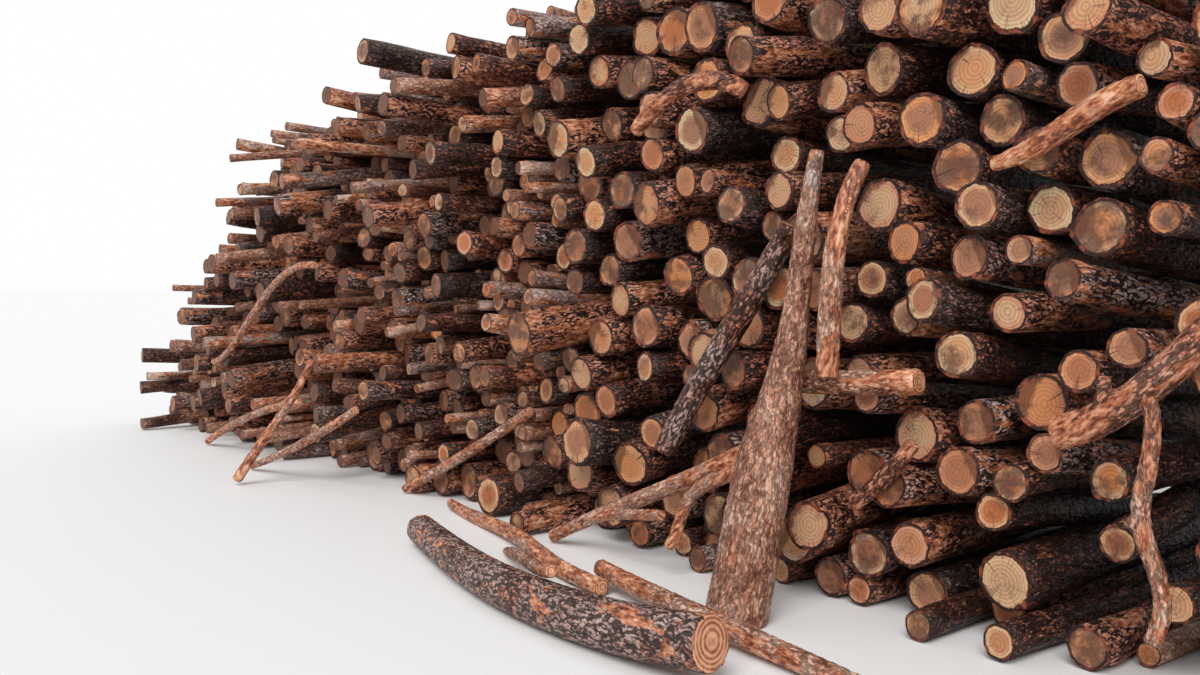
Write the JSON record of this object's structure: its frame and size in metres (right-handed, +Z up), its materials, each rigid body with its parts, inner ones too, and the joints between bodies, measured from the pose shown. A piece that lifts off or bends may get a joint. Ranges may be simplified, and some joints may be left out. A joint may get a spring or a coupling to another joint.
{
  "type": "stack of logs",
  "caption": "Long free-standing stack of felled pine logs laid crosswise, with rough bark and sawn ends, sloping to the ground at both ends, and crooked stems leaning on its front",
  "frame": {"origin": "centre of the bottom of the whole stack's box, on the ground", "axes": "+X along the length of the stack, +Y along the logs from the front face to the back face, +Z up"},
  "size_m": [14.215, 4.5148, 3.6317],
  "materials": {
    "pine_log": "rough flaking bark with pale sawn ends",
    "pine_stem": "thin reddish bark, partly torn off"
  },
  "bodies": {
    "root": {"bent_stub": "pine_stem", "cross_log": "pine_stem", "end_pole": "pine_stem", "fallen_log": "pine_log", "front_branch": "pine_stem", "front_pole_1": "pine_stem", "front_pole_2": "pine_stem", "hooked_branch": "pine_stem", "knotty_branch": "pine_stem", "leaning_pole": "pine_stem", "leaning_stem": "pine_stem", "leaning_trunk": "pine_stem", "left_pole_1": "pine_stem", "left_pole_2": "pine_stem", "left_pole_3": "pine_stem", "left_pole_4": "pine_stem", "left_pole_5": "pine_stem", "log_course_01": "pine_log", "log_course_02": "pine_log", "log_course_03": "pine_log", "log_course_04": "pine_log", "log_course_05": "pine_log", "log_course_06": "pine_log", "log_course_07": "pine_log", "log_course_08": "pine_log", "log_course_09": "pine_log", "log_course_10": "pine_log", "log_course_11": "pine_log", "log_course_12": "pine_log", "log_course_13": "pine_log", "log_course_14": "pine_log", "log_course_15": "pine_log", "log_course_16": "pine_log", "log_course_17": "pine_log", "log_course_18": "pine_log", "log_course_19": "pine_log", "log_course_20": "pine_log", "log_course_21": "pine_log", "low_pole": "pine_stem", "pale_branch": "pine_stem", "short_branch": "pine_stem", "upright_branch": "pine_stem"}
  },
  "joints": []
}
